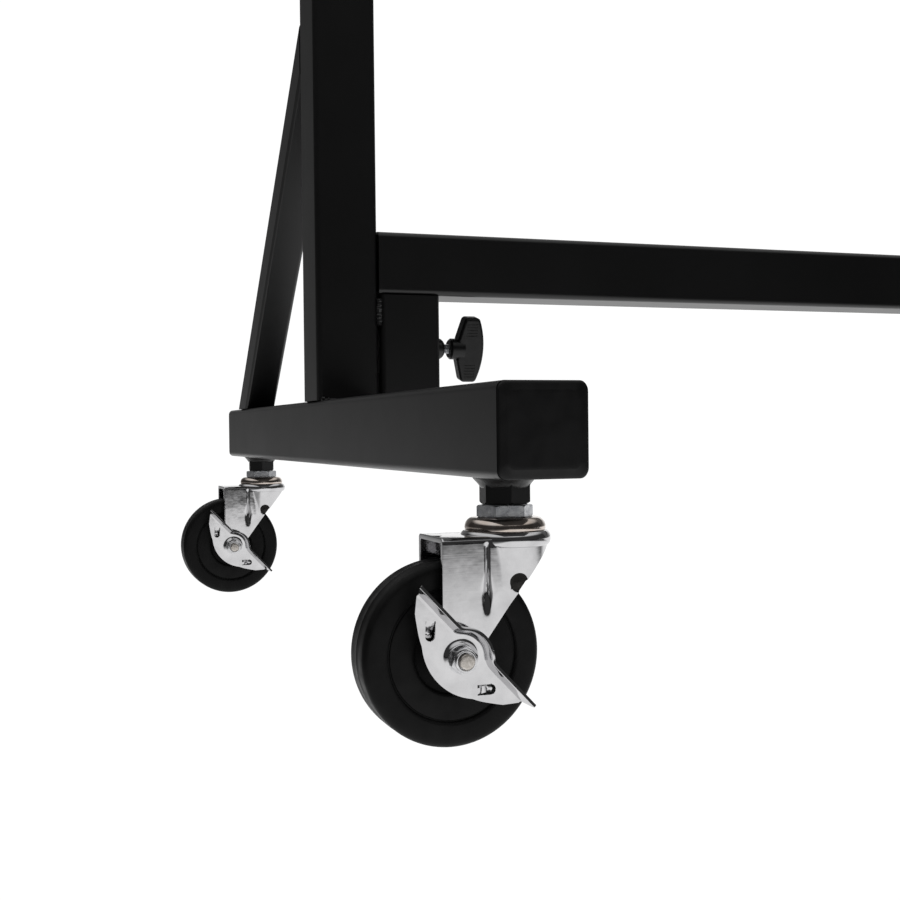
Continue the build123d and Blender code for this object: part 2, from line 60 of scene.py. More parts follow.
# --- where things are, read from the frame ---
foot_low, foot_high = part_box("left_foot_tube")
upright_low, upright_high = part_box("left_upright")
brace_low, brace_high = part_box("left_brace")
foot_caps_low, foot_caps_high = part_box("foot_end_caps")
foot_bottom, foot_top = foot_low.z, foot_high.z
foot_middle = (foot_bottom + foot_top) / 2
foot_end = foot_high.y
TUBE = foot_high.x - foot_low.x
SIDE_X = -(foot_low.x + foot_high.x) / 2
FRAME_Y = (upright_low.y + upright_high.y) / 2
upright_top = upright_high.z
CAP_HEAD = foot_caps_high.y - foot_end

# --- sizes that the CAD holds only as surfaces ---
TUBE_WALL = 2.5 * MM
TUBE_CORNER = 4.5 * MM
BRACE_TUBE = 30 * MM
BRACE_WALL = 2 * MM
BRACE_CORNER = 3 * MM
PEG_WALL = 3 * MM
PEG_CORNER = 4 * MM

# A point this far off the axis stands for the axis itself, so that no face of a turned part collapses.
AXIS = 0.01


# --- Mesh tools. A part is a pair: a list of points and a list of faces ---

def make_mesh(name, part, material, smooth_angle=35.0, scale=1.0, facing=None):
    """A mesh with one material, smooth across edges that bend less than smooth_angle degrees. An open sheet
    says which way it faces."""
    points, faces = part
    mesh = bpy.data.meshes.new(name)
    mesh.from_pydata([tuple(Vector(p) * scale) for p in points], [], faces)
    shape = bmesh.new()
    shape.from_mesh(mesh)
    bmesh.ops.remove_doubles(shape, verts=shape.verts, dist=1e-7)
    bmesh.ops.recalc_face_normals(shape, faces=shape.faces)
    if facing:
        total = Vector()
        for face in shape.faces:
            total += face.normal * face.calc_area()
        if total.dot(Vector(facing)) < 0:
            bmesh.ops.reverse_faces(shape, faces=shape.faces)
    shape.to_mesh(mesh)
    shape.free()
    mesh.materials.append(material)
    soften(mesh, smooth_angle)
    mesh.update()
    return mesh


def soften(mesh, smooth_angle):
    """Smooth shading, with every edge kept sharp that bends more than that many degrees."""
    mesh.shade_smooth()
    mesh.set_sharp_from_angle(angle=math.radians(smooth_angle))


def join_parts(*parts):
    """One part out of several."""
    points, faces = [], []
    for part_points, part_faces in parts:
        start = len(points)
        points += [Vector(p) for p in part_points]
        faces += [tuple(start + i for i in face) for face in part_faces]
    return points, faces


def moved(part, matrix):
    """The part with every point moved by a matrix."""
    points, faces = part
    return [matrix @ Vector(p) for p in points], faces


def turn_matrix(degrees, axis):
    """A turn about X, Y or Z."""
    return Matrix.Rotation(math.radians(degrees), 4, axis)


def place(mesh, name, body, matrix=None, node=None, even=False):
    """Put a mesh in the scene as one piece that rides on a body and stands for a CAD node."""
    piece = bpy.data.objects.new(name, mesh)
    bpy.context.scene.collection.objects.link(piece)
    piece.matrix_world = matrix or Matrix.Identity(4)
    if even:
        weighted = piece.modifiers.new("even", "WEIGHTED_NORMAL")
        weighted.keep_sharp = True
        weighted.weight = 100
    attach(piece, body)
    if node:
        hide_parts(node)
    return piece


def baked(mesh, kind, smooth_angle=35.0, **settings):
    """The mesh with one modifier applied."""
    holder = bpy.data.objects.new("holder", mesh)
    bpy.context.scene.collection.objects.link(holder)
    modifier = holder.modifiers.new(kind.lower(), kind)
    for key, value in settings.items():
        setattr(modifier, key, value)
    bpy.context.view_layer.update()
    evaluated = holder.evaluated_get(bpy.context.evaluated_depsgraph_get())
    result = bpy.data.meshes.new_from_object(evaluated)
    bpy.data.objects.remove(holder)
    result.name = mesh.name
    soften(result, smooth_angle)
    return result


def pressed_sheet(mesh, thickness, cutters, edge_bevel):
    """An open sheet made solid inwards, minus some closed parts, with its sharp edges broken. Sizes are in
    millimetres."""
    mesh = baked(mesh, "SOLIDIFY", thickness=thickness * MM, offset=-1.0, use_even_offset=True,
                 use_quality_normals=True)
    for part in cutters:
        cutter_mesh = make_mesh("cutter", part, mesh.materials[0], scale=MM)
        cutter = bpy.data.objects.new("cutter", cutter_mesh)
        bpy.context.scene.collection.objects.link(cutter)
        mesh = baked(mesh, "BOOLEAN", operation="DIFFERENCE", object=cutter, solver="EXACT")
        bpy.data.objects.remove(cutter)
    return baked(mesh, "BEVEL", smooth_angle=40, width=edge_bevel * MM, segments=2, limit_method="ANGLE",
                 angle_limit=math.radians(50))


def grid_faces(rows, columns, wrap_rows=False, wrap_columns=False):
    """Quads over a grid of points that are laid out row after row."""
    faces = []
    for i in range(rows if wrap_rows else rows - 1):
        row, next_row = i * columns, (i + 1) % rows * columns
        for j in range(columns if wrap_columns else columns - 1):
            next_j = (j + 1) % columns
            faces.append((row + j, row + next_j, next_row + next_j, next_row + j))
    return faces


def arc(centre, radius, start, end, steps):
    """Points on an arc in a plane. The angles are in degrees."""
    points = []
    for i in range(steps + 1):
        angle = math.radians(start + (end - start) * i / steps)
        points.append((centre[0] + radius * math.cos(angle), centre[1] + radius * math.sin(angle)))
    return points


def smooth_step(low, high, value):
    """0 below low, 1 above high, and an even curve between."""
    share = min(1.0, max(0.0, (value - low) / (high - low)))
    return share * share * (3 - 2 * share)


def lathe(profile, segments=64, ripple=None):
    """Turn (radius, height) points about Z. With ripple(angle, height), each radius is multiplied by it."""
    points = []
    for radius, height in profile:
        for k in range(segments):
            turn = 2 * math.pi * k / segments
            reach = radius * (ripple(turn, height) if ripple else 1.0)
            points.append((reach * math.cos(turn), reach * math.sin(turn), height))
    return points, grid_faces(len(profile), segments, wrap_rows=True, wrap_columns=True)


def rounded_square(size, corner, steps=8):
    """Outline of a square with rounded corners."""
    reach = size / 2 - corner
    outline = []
    for quarter, (sx, sy) in enumerate(((1, 1), (-1, 1), (-1, -1), (1, -1))):
        outline += arc((sx * reach, sy * reach), corner, 90 * quarter, 90 * quarter + 90, steps)
    return outline


def tube_part(start, end, side, size, wall, corner, start_cut=None, end_cut=None):
    """A hollow square tube between two points. side is square to it, and the cuts are the normals of its end
    planes."""
    start, end = Vector(start), Vector(end)
    along = (end - start).normalized()
    up = along.cross(side)
    cuts = ((start, start_cut or along), (end, end_cut or along))
    outer, inner = rounded_square(size, corner), rounded_square(size - 2 * wall, corner - wall)
    points = []
    for outline, ends in ((outer, cuts), (inner, cuts[::-1])):
        for point, normal in ends:
            for u, v in outline:
                offset = start + side * u + up * v
                distance = (point - offset).dot(normal) / along.dot(normal)
                points.append(offset + along * distance)
    return points, grid_faces(4, len(outer), wrap_rows=True, wrap_columns=True)


def hex_part(flats, low, high, turn=0.0, bore=0.0, bevel_low=True, bevel_high=True, turned=0.96):
    """A hexagonal nut about Z. Where it is bevelled, its corners are turned off at 30 degrees, outside the
    share turned of its half width."""
    side_steps = 12
    half = flats / 2
    face_radius = half * turned
    slope = math.tan(math.radians(30))
    rows = [[], [], [], [], [], []]
    for k in range(6 * side_steps):
        share = k % side_steps / side_steps
        angle = math.radians(60 * k / side_steps + turn)
        radius = half / math.cos(math.radians(60 * share - 30))
        drop = max(0.0, radius - face_radius) * slope
        face = min(radius, face_radius)
        ring = (
            (bore, low), (face, low), (radius, low + (drop if bevel_low else 0)),
            (radius, high - (drop if bevel_high else 0)), (face, high), (bore, high),
        )
        for row, (r, z) in zip(rows, ring):
            row.append((r * math.cos(angle), r * math.sin(angle), z))
    points = [p for row in rows for p in row]
    return points, grid_faces(6, 6 * side_steps, wrap_rows=True, wrap_columns=True)


def thread_part(radius, depth, pitch, low, high):
    """A threaded rod about Z with flat ends. The thread runs out over the last part of a turn at each end."""
    around, per_pitch, run_out = 48, 10, 0.6
    count = round((high - low) / pitch * per_pitch)
    points = [(0, 0, low)] * around
    for i in range(count + 1):
        z = low + (high - low) * i / count
        ease = min(1.0, (z - low) / (run_out * pitch), (high - z) / (run_out * pitch))
        for k in range(around):
            phase = (z / pitch - k / around) % 1.0
            dip = depth * (1 - abs(2 * phase - 1)) ** 0.8
            reach = radius - max(dip, depth * (1 - ease))
            turn = 2 * math.pi * k / around
            points.append((reach * math.cos(turn), reach * math.sin(turn), z))
    points += [(0, 0, high)] * around
    return points, grid_faces(count + 3, around, wrap_columns=True)


def weld_bead(start, end, radius, seed):
    """A straight rippled bead of weld. Sizes are in millimetres."""
    step, ripple, sides, pinch = 0.5, 1.6, 12, 0.3
    start, end = Vector(start), Vector(end)
    length = (end - start).length
    count = max(2, round(length / step))
    along = (end - start).normalized()
    side = along.orthogonal().normalized()
    up = along.cross(side)
    points = []
    for i in range(count + 1):
        run = length * i / count
        wander = Vector((noise.noise(Vector((run / 3, seed, 0))), noise.noise(Vector((seed, run / 3, 5))), 0))
        wave = 0.14 * abs(math.sin(math.pi * run / ripple)) + 0.2 * noise.noise(Vector((run / 6, seed, 9)))
        size = radius * (0.86 + wave)
        if i in (0, count):
            size *= pinch
        centre = start + along * run + (side * wander.x + up * wander.y) * radius * 0.3
        for k in range(sides):
            turn = 2 * math.pi * k / sides
            points.append(centre + side * size * math.cos(turn) + up * size * math.sin(turn))
    faces = grid_faces(count + 1, sides, wrap_columns=True)
    faces.append(tuple(range(sides)))
    faces.append(tuple(range(len(points) - sides, len(points))))
    return points, faces


# --- Materials ---

# Most of a noise texture's values lie between these two.
NOISE_LOW, NOISE_HIGH = 0.3, 0.7


class Material:
    """A node material that is built up step by step round one Principled shader. Its settings are the
    shader's own, written with _ for a space."""

    def __init__(self, name, **settings):
        self.data = bpy.data.materials.new(name)
        self.data.use_nodes = True
        self.nodes = self.data.node_tree.nodes
        self.links = self.data.node_tree.links
        self.shader = self.nodes["Principled BSDF"]
        self.place_on = self.nodes.new("ShaderNodeTexCoord").outputs["Object"]
        self.normal = None
        for key, value in settings.items():
            self.shader.inputs[key.replace("_", " ")].default_value = value

    def noise(self, feature, detail, stretch=(1, 1, 1)):
        """Noise whose lumps are about that many metres across, with that many octaves of detail."""
        mapping = self.nodes.new("ShaderNodeMapping")
        mapping.inputs["Scale"].default_value = stretch
        self.links.new(self.place_on, mapping.inputs["Vector"])
        texture = self.nodes.new("ShaderNodeTexNoise")
        texture.inputs["Scale"].default_value = 1.0 / feature
        texture.inputs["Detail"].default_value = detail
        self.links.new(mapping.outputs["Vector"], texture.inputs["Vector"])
        return texture.outputs["Fac"]

    def spread(self, source, low, high):
        """Map noise onto a range."""
        mapper = self.nodes.new("ShaderNodeMapRange")
        mapper.inputs["From Min"].default_value = NOISE_LOW
        mapper.inputs["From Max"].default_value = NOISE_HIGH
        mapper.inputs["To Min"].default_value = low
        mapper.inputs["To Max"].default_value = high
        self.links.new(source, mapper.inputs["Value"])
        return mapper.outputs["Result"]

    def roughness(self, feature, detail, low, high):
        """Let noise set how rough the surface is."""
        self.links.new(self.spread(self.noise(feature, detail), low, high), self.shader.inputs["Roughness"])

    def colours(self, feature, detail, low, high):
        """Let noise mix two base colours."""
        mix = self.nodes.new("ShaderNodeMix")
        mix.data_type = "RGBA"
        mix.inputs["A"].default_value = (*low, 1.0)
        mix.inputs["B"].default_value = (*high, 1.0)
        self.links.new(self.spread(self.noise(feature, detail), 0.0, 1.0), mix.inputs["Factor"])
        self.links.new(mix.outputs["Result"], self.shader.inputs["Base Color"])

    def relief(self, source, depth, strength):
        """Raise the surface by a texture, up to that depth in metres, on top of earlier relief."""
        node = self.nodes.new("ShaderNodeBump")
        node.inputs["Strength"].default_value = strength
        node.inputs["Distance"].default_value = depth
        self.links.new(source, node.inputs["Height"])
        if self.normal is not None:
            self.links.new(self.normal, node.inputs["Normal"])
        self.normal = node.outputs["Normal"]
        self.links.new(self.normal, self.shader.inputs["Normal"])

    def bumps(self, feature, detail, depth, strength, stretch=(1, 1, 1)):
        """Relief of noise."""
        self.relief(self.noise(feature, detail, stretch), depth, strength)

    def grain(self, feature, depth, strength):
        """Relief of small rounded cells, as on a moulding."""
        texture = self.nodes.new("ShaderNodeTexVoronoi")
        texture.feature = "SMOOTH_F1"
        texture.inputs["Scale"].default_value = 1.0 / feature
        self.links.new(self.place_on, texture.inputs["Vector"])
        self.relief(texture.outputs["Distance"], depth, strength)


def powder_coat():
    """Satin black powder coat: fine orange peel over slightly wavy tube."""
    material = Material("powder_coat")
    material.colours(0.12, 4, (0.0048, 0.0048, 0.005), (0.0072, 0.0072, 0.0076))
    material.roughness(0.05, 5, 0.35, 0.38)
    material.bumps(0.0011, 2, 0.00004, 0.5)
    material.bumps(0.06, 1, 0.0002, 0.1)
    return material.data


def weld_coat():
    """The same coat where it lies over a weld: glossier and lumpier."""
    material = Material("weld_coat", Base_Color=(0.006, 0.006, 0.0063, 1.0))
    material.roughness(0.004, 3, 0.22, 0.42)
    material.bumps(0.0016, 3, 0.0002, 0.6)
    return material.data


def cap_plastic():
    """Moulded black polyethylene with a fine grain."""
    material = Material("cap_plastic", Specular_IOR_Level=0.3)
    material.colours(0.02, 4, (0.0035, 0.0035, 0.0037), (0.0055, 0.0055, 0.0058))
    material.roughness(0.008, 4, 0.36, 0.5)
    material.grain(0.0007, 0.00005, 0.4)
    return material.data


def knob_plastic():
    """Moulded black nylon."""
    material = Material("knob_plastic", Specular_IOR_Level=0.35)
    material.colours(0.012, 4, (0.0034, 0.0034, 0.0036), (0.0052, 0.0052, 0.0055))
    material.roughness(0.006, 4, 0.3, 0.44)
    material.grain(0.0006, 0.00004, 0.4)
    return material.data


def hard_rubber():
    """Hard black wheel rubber, slightly chalky."""
    material = Material("hard_rubber", Specular_IOR_Level=0.15)
    material.colours(0.018, 5, (0.003, 0.003, 0.0031), (0.0055, 0.0055, 0.0055))
    material.roughness(0.007, 5, 0.4, 0.56)
    material.bumps(0.0006, 3, 0.00003, 0.5)
    return material.data


def chrome_plate():
    """Bright chrome on pressed steel: faint polishing lines and the waves of the pressing."""
    material = Material("chrome_plate", Metallic=1.0)
    material.roughness(0.006, 4, 0.04, 0.12)
    material.colours(0.009, 4, (0.55, 0.547, 0.555), (0.65, 0.647, 0.655))
    material.bumps(0.0016, 3, 0.00002, 0.25, stretch=(0.12, 1, 2.2))
    material.bumps(0.011, 2, 0.0005, 0.13)
    return material.data


def painted_dimple_shade():
    """Painted shade at the unpolished bottom of a pressed dimple: a dark colour that stands in for the shade
    lying there.
    """
    material = Material("painted_dimple_shade", Roughness=0.5, Metallic=0.6)
    material.colours(0.002, 4, (0.012, 0.011, 0.01), (0.03, 0.028, 0.026))
    material.bumps(0.0008, 3, 0.00005, 0.5)
    return material.data


def raceway_chrome():
    """Polished dome with a warm tone."""
    material = Material("raceway_chrome", Metallic=1.0)
    material.colours(0.01, 3, (0.52, 0.44, 0.38), (0.72, 0.66, 0.62))
    material.roughness(0.005, 4, 0.07, 0.18)
    material.bumps(0.02, 1, 0.0002, 0.2)
    return material.data


def zinc_plate():
    """Bright zinc on turned and forged steel."""
    material = Material("zinc_plate", Metallic=1.0)
    material.colours(0.004, 5, (0.4, 0.41, 0.44), (0.66, 0.67, 0.68))
    material.roughness(0.0025, 4, 0.22, 0.42)
    material.bumps(0.0009, 4, 0.00006, 0.5)
    return material.data


def bright_fastener():
    """Nut, washer and spacer: bright nickel."""
    material = Material("bright_fastener", Metallic=1.0)
    material.roughness(0.002, 3, 0.1, 0.24)
    material.colours(0.003, 4, (0.5, 0.5, 0.51), (0.7, 0.7, 0.71))
    material.bumps(0.0012, 3, 0.00006, 0.4)
    return material.data


def bolt_end_steel():
    """Cut end of a bolt: pale, slightly warm, matt."""
    material = Material("bolt_end_steel", Roughness=0.4, Metallic=1.0)
    material.colours(0.0012, 4, (0.45, 0.42, 0.38), (0.7, 0.66, 0.62))
    material.bumps(0.0007, 4, 0.00008, 0.6)
    return material.data


def ball_steel():
    """Polished bearing steel with a film of grease."""
    material = Material("ball_steel", Base_Color=(0.6, 0.6, 0.61, 1.0), Metallic=1.0)
    material.roughness(0.002, 2, 0.08, 0.2)
    return material.data


def brass_pad():
    """Turned brass."""
    material = Material("brass_pad", Base_Color=(0.75, 0.55, 0.25, 1.0), Metallic=1.0)
    material.roughness(0.001, 3, 0.2, 0.4)
    return material.data


COAT = powder_coat()
WELD = weld_coat()
CAP = cap_plastic()
KNOB = knob_plastic()
RUBBER = hard_rubber()
CHROME = chrome_plate()
PAINTED_SHADE = painted_dimple_shade()
RACEWAY = raceway_chrome()
ZINC = zinc_plate()
FASTENER = bright_fastener()
BOLT_END = bolt_end_steel()
BALL = ball_steel()
BRASS = brass_pad()


# --- Side frames and crossbars ---

def place_coated(name, part, body, node):
    """A powder-coated tube that stands for a CAD node."""
    mesh = make_mesh(f"{name}_mesh", part, COAT)
    place(mesh, f"{name}_finish", body, node=node, even=True)


def main_tube(start, end, side):
    """A length of the tube that feet, uprights, sockets and crossbars are made of."""
    return tube_part(start, end, side, TUBE, TUBE_WALL, TUBE_CORNER)


def build_side_tubes():
    """Foot, upright, brace and sockets of both side frames, with finely rounded corners."""
    # The brace leans at 45 degrees, so half of each cut end is this long.
    half_cut = BRACE_TUBE / math.sqrt(2)
    brace_x = brace_high.x - BRACE_TUBE / 2
    for side, sign in SIDES:
        x = sign * SIDE_X
        brace_start = (-sign * brace_x, brace_high.y - half_cut, brace_low.z)
        brace_end = (-sign * brace_x, brace_low.y, brace_high.z - half_cut)
        runs = {
            "foot_tube": main_tube((x, -foot_end, foot_middle), (x, foot_end, foot_middle), X_AXIS),
            "upright": main_tube((x, FRAME_Y, foot_top), (x, FRAME_Y, upright_top), X_AXIS),
            "brace": tube_part(brace_start, brace_end, X_AXIS, BRACE_TUBE, BRACE_WALL, BRACE_CORNER,
                               start_cut=Z_AXIS, end_cut=Y_AXIS),
        }
        for level in LEVELS:
            low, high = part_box(f"{side}_{level}_socket")
            x, y, _ = (low + high) / 2
            runs[f"{level}_socket"] = main_tube((x, y, low.z), (x, y, high.z), X_AXIS)
        for name, part in runs.items():
            place_coated(f"{side}_{name}", part, FRAME_BODY, f"{side}_{name}")


def build_crossbars():
    """Both crossbars with the pegs that drop into the sockets."""
    for level in LEVELS:
        low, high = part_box(f"{level}_crossbar_tube")
        middle = (low + high) / 2
        bar = main_tube((low.x, middle.y, middle.z), (high.x, middle.y, middle.z), Y_AXIS)
        place_coated(f"{level}_crossbar", bar, f"{level}_crossbar", f"{level}_crossbar_tube")
        peg_low, peg_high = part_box(f"{level}_crossbar_pegs")
        peg_size = peg_high.y - peg_low.y
        pegs = []
        for _, sign in SIDES:
            x = sign * (peg_high.x - peg_size / 2)
            pegs.append(tube_part((x, FRAME_Y, peg_low.z), (x, FRAME_Y, peg_high.z), X_AXIS,
                                  peg_size, PEG_WALL, PEG_CORNER))
        place_coated(f"{level}_pegs", join_parts(*pegs), f"{level}_crossbar", f"{level}_crossbar_pegs")


def cap_part():
    """A plastic cap in millimetres: a thin seating lip, a soft-edged head and a raised flat pillow face."""
    size, corner, head = TUBE / MM, 5.2, CAP_HEAD / MM
    # how much smaller than the tube each ring is, its corner's radius and its height above the tube's end
    rings = [
        (5.1, 3.0, -14.0), (5.1, 3.0, -0.05), (2.6, corner - 1.1, -0.05), (2.2, corner - 1.0, 0.55),
        (0.5, corner - 0.2, 0.7), (0.2, corner, 0.95), (0.5, corner + 0.1, 1.35), (1.2, corner + 0.2, 1.7),
        (2.4, corner + 0.2, 1.95), (4.0, corner, 2.15), (7.6, corner - 0.5, 2.55), (9.4, corner - 1.2, 2.82),
        (10.8, corner - 1.6, head - 0.02), (14.0, corner - 2.4, head),
    ]
    points = []
    for inset, ring_corner, height in rings:
        outline = rounded_square(size - inset, ring_corner)
        points += [(u, v, height) for u, v in outline]
    count = len(outline)
    faces = grid_faces(len(rings), count, wrap_columns=True)
    faces.append(tuple(range(count * (len(rings) - 1), count * len(rings))))
    return points, faces


def build_caps():
    """One cap on every open tube end."""
    mesh = make_mesh("cap_mesh", cap_part(), CAP, smooth_angle=50, scale=MM)
    for side, sign in SIDES:
        x = sign * SIDE_X
        # name, place, turn about X in degrees and CAD node
        caps = (
            ("front", (x, -foot_end, foot_middle), 90, "foot_end_caps"),
            ("rear", (x, foot_end, foot_middle), -90, "foot_end_caps"),
            ("top", (x, FRAME_Y, upright_top), 0, "upright_top_caps"),
        )
        for name, spot, turn, node in caps:
            matrix = Matrix.Translation(spot) @ turn_matrix(turn, "X")
            place(mesh, f"{side}_{name}_cap", FRAME_BODY, matrix, node, even=True)


def frame_beads(x, sign):
    """Weld beads of a side frame, as (start, end, radius) in millimetres. x is the middle of the frame, and
    sign points to its outer side, which is ground flush."""
    edge = TUBE / 2 / MM
    clear = 3.2
    y, z = FRAME_Y / MM, foot_top / MM
    left, right = x - edge + clear, x + edge - clear
    front, rear = y - edge, y + edge
    outer = x + sign * edge
    brace_x = -sign * (brace_low.x + brace_high.x) / 2 / MM
    brace_foot_y, brace_head_y = brace_high.y / MM - 0.3, brace_low.y / MM + 0.3
    brace_head_z = brace_high.z / MM - 0.3
    brace_left, brace_right = brace_x - 10, brace_x + 10
    return [
        # across the front and the rear of the upright's foot
        ((left, front - 0.2, z + 0.2), (right, front - 0.2, z + 0.2), 1.25),
        ((left, rear + 0.2, z + 0.2), (right, rear + 0.2, z + 0.2), 1.5),
        # the two lumps where the front bead starts
        ((outer - sign * 2.5, front - 0.6, z + 1.0), (outer - sign * 5.5, front - 0.6, z + 0.9), 1.9),
        ((outer - sign * 7.5, front - 0.5, z + 0.8), (outer - sign * 9.5, front - 0.5, z + 0.8), 1.6),
        # the brace on the foot and on the upright
        ((brace_left, brace_foot_y, z + 0.2), (brace_right, brace_foot_y, z + 0.2), 1.1),
        ((brace_left, brace_head_y, brace_head_z), (brace_right, brace_head_y, brace_head_z), 1.1),
    ]


def socket_beads(gap_x, low, high):
    """Weld beads of a socket, as frame_beads gives them: the groove between upright and socket is filled near
    its top and tacked near its bottom, in front and behind."""
    front, rear, tack = low.y, high.y, low.z + 50.8
    return [
        ((gap_x, front + 2.4, high.z - 3), (gap_x, front + 2.2, high.z - 25), 2.9),
        ((gap_x, front + 2.6, tack), (gap_x, front + 2.6, tack + 3.2), 2.3),
        ((gap_x, rear - 2.4, high.z - 4), (gap_x, rear - 2.4, high.z - 26), 2.9),
        ((gap_x, rear - 2.6, tack), (gap_x, rear - 2.6, tack + 5.2), 2.3),
    ]


def build_welds():
    """All weld beads of a side frame, as one piece for each side."""
    for side, sign in SIDES:
        x = sign * SIDE_X / MM
        beads = frame_beads(x, sign)
        for level in LEVELS:
            low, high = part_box(f"{side}_{level}_socket")
            beads += socket_beads(x - sign * (TUBE / 2 / MM + 1), low / MM, high / MM)
        parts = [weld_bead(start, end, radius, seed=3.1 * index + sign)
                 for index, (start, end, radius) in enumerate(beads)]
        mesh = make_mesh(f"{side}_weld_mesh", join_parts(*parts), WELD, smooth_angle=60, scale=MM)
        place(mesh, f"{side}_weld_beads", FRAME_BODY)


build_side_tubes()
build_crossbars()
build_caps()
build_welds()


# --- Casters. Local millimetres: the origin is on the stem's axis at the underside of the foot, the wheel
# --- trails towards -X and the brake lever is on the -Y side ---

AXLE_X, AXLE_Z = -35.2, -92.5

# fork: plan, lower edge, curved front wall and dimple
FORK_TOP = -30.7
FORK_HALF = 19.5
FORK_SHEET = 2.6
FORK_REAR = -42.8
LEG_BOTTOM = -99.5
LEG_ROUND = 6.0
LEG_FRONT = -29.5
SLOPE = math.radians(53.5)
FRONT_WALL_RADIUS = 23.4
FRONT_WALL_TAPER = math.tan(math.radians(5.5))
DIMPLE_X, DIMPLE_Z, DIMPLE_RADIUS = -0.6, -55.4, 5.2
DIMPLE_FLOOR = 19.7

# the crease that ends in a drop
CREASE_X = -18.0
DROP_TOP, DROP_BOTTOM = -59.0, -73.0

# brake lever
LEVER_PLATE = 22.5
LEVER_SHEET = 2.0
LEVER_LEAN = 43.4
LEVER_TIP = 40.5
FLANGE_HEIGHT = 5.8
FLANGE_FLARE = 0.45

# width across the flats of the axle bolt's head and nut
AXLE_FLATS = 13.0


def across_axle(part):
    """A part about Z laid along the axle. Its Z points to the lever's side, from the wheel's middle."""
    return moved(part, Matrix.Translation((AXLE_X, 0, AXLE_Z)) @ turn_matrix(90, "X"))


def weld_collar_part():
    """The lumpy cone of weld round the top of the weld nut."""
    def lumps(angle, height):
        return 1 + 0.02 * noise.noise(Vector((2.5 * math.cos(angle), 2.5 * math.sin(angle), height / 4)))

    profile = [(11.5, 0.2), (17.5, 0.2), (17.2, -0.7), (16.4, -1.6), (15.4, -2.7), (14.5, -3.8), (13.9, -4.8),
               (13.3, -5.6), (12.6, -6.1), (11.0, -6.1)]
    return lathe(profile, 96, ripple=lumps)


def stem_part():
    """Stem with its wrench hexagon, the collar on top of it and the head of the king pin."""
    hexagon = hex_part(27.0, -21.7, -15.35, turn=-9.6, bore=5.0, turned=1.08)
    washer = lathe([(5.0, -15.5), (12.2, -15.5), (12.2, -15.0), (5.0, -15.0)], 64)
    shank = [(AXIS, 9.5), (7.0, 9.5), (8.0, 8.5), (8.0, -16.0), (6.0, -16.0), (6.0, -34.0), (AXIS, -34.0)]
    head = [(AXIS, -33.6), (10.4, -33.6), (11.0, -34.2), (11.0, -35.9), (10.0, -36.8), (AXIS, -36.8)]
    return join_parts(hexagon, washer, lathe(shank, 48), lathe(head, 48))


def raceway_part():
    """The pressed cover of the ball race: a flat under the hexagon and a full round shoulder."""
    outer = [(6.2, -21.7), (12.0, -21.7), (14.5, -21.72)]
    outer += arc((16.7, -27.0), 5.3, 92, 0, 16) + arc((16.7, -27.0), 5.3, 0, -18, 4)
    inner = [(19.6, -28.6), (18.8, -27.2), (16.4, -24.6), (13.0, -23.8), (6.2, -23.8)]
    return lathe(outer + inner, 96)


def leg_bottom(x):
    """Height of the fork's lower edge at x, with its two rounded corners and the sloping front."""
    rear_corner = FORK_REAR + LEG_ROUND
    slope_start = LEG_FRONT - LEG_ROUND * math.tan(SLOPE / 2)
    if x < rear_corner:
        return LEG_BOTTOM + LEG_ROUND - math.sqrt(max(0.0, LEG_ROUND ** 2 - (x - rear_corner) ** 2))
    if x < slope_start:
        return LEG_BOTTOM
    if x < slope_start + LEG_ROUND * math.sin(SLOPE):
        return LEG_BOTTOM + LEG_ROUND - math.sqrt(LEG_ROUND ** 2 - (x - slope_start) ** 2)
    return LEG_BOTTOM + (x - LEG_FRONT) * math.tan(SLOPE)


def fork_path():
    """Plan points of the fork's skin from the rear edge of one leg, round the front, to the other, each with
    the outward direction of a plain U. They lie closer together near the crease."""
    legs = []
    x = FORK_REAR
    while x < -0.01:
        legs.append(x)
        x += 0.5 if CREASE_X - 5 < x < CREASE_X + 8 else 1.2
    path = [((x, -FORK_HALF), (0, -1)) for x in legs]
    for nx, ny in arc((0, 0), 1.0, -90, 90, 60):
        path.append(((FORK_HALF * nx, FORK_HALF * ny), (nx, ny)))
    path += [((x, FORK_HALF), (0, 1)) for x in reversed(legs)]
    return path


def fork_relief(x, z):
    """How far the skin stands out from the plain U at a spot: the front wall leaves the cup wider than the
    legs and narrows downwards, and a crease that ends in a drop divides it from the flat leg."""
    radius = FRONT_WALL_RADIUS + (z - FORK_TOP) * FRONT_WALL_TAPER
    bulge = math.sqrt(max(0.0, radius ** 2 - min(0.0, x) ** 2)) - FORK_HALF
    bulge = (bulge + math.hypot(bulge, 0.4)) / 2 * smooth_step(-19.0, -15.5, x)
    step = 0.5 * smooth_step(-17.8, -16.2, x) * (1 - smooth_step(-14.0, -7.0, x))
    step *= smooth_step(-74.0, -60.0, z)
    width = 0.9 + 1.1 * smooth_step(-48.0, -62.0, z)
    depth = (0.8 + 1.1 * smooth_step(-42.0, -58.0, z)) * smooth_step(DROP_BOTTOM, DROP_TOP, z)
    crease = -depth * math.exp(-((x - CREASE_X) / width) ** 2)
    return bulge + step + crease


def dimple_part(side):
    """A cutter for the round dimple beside the sloping edge, on one side of the fork."""
    reach, softened = 20.0, 0.8
    profile = [(AXIS, 0.0), (DIMPLE_RADIUS - softened, 0.0), (DIMPLE_RADIUS, softened),
               (DIMPLE_RADIUS, reach), (AXIS, reach)]
    lay = Matrix.Translation((DIMPLE_X, side * DIMPLE_FLOOR, DIMPLE_Z))
    return moved(lathe(profile, 64), lay @ turn_matrix(-90 * side, "X"))


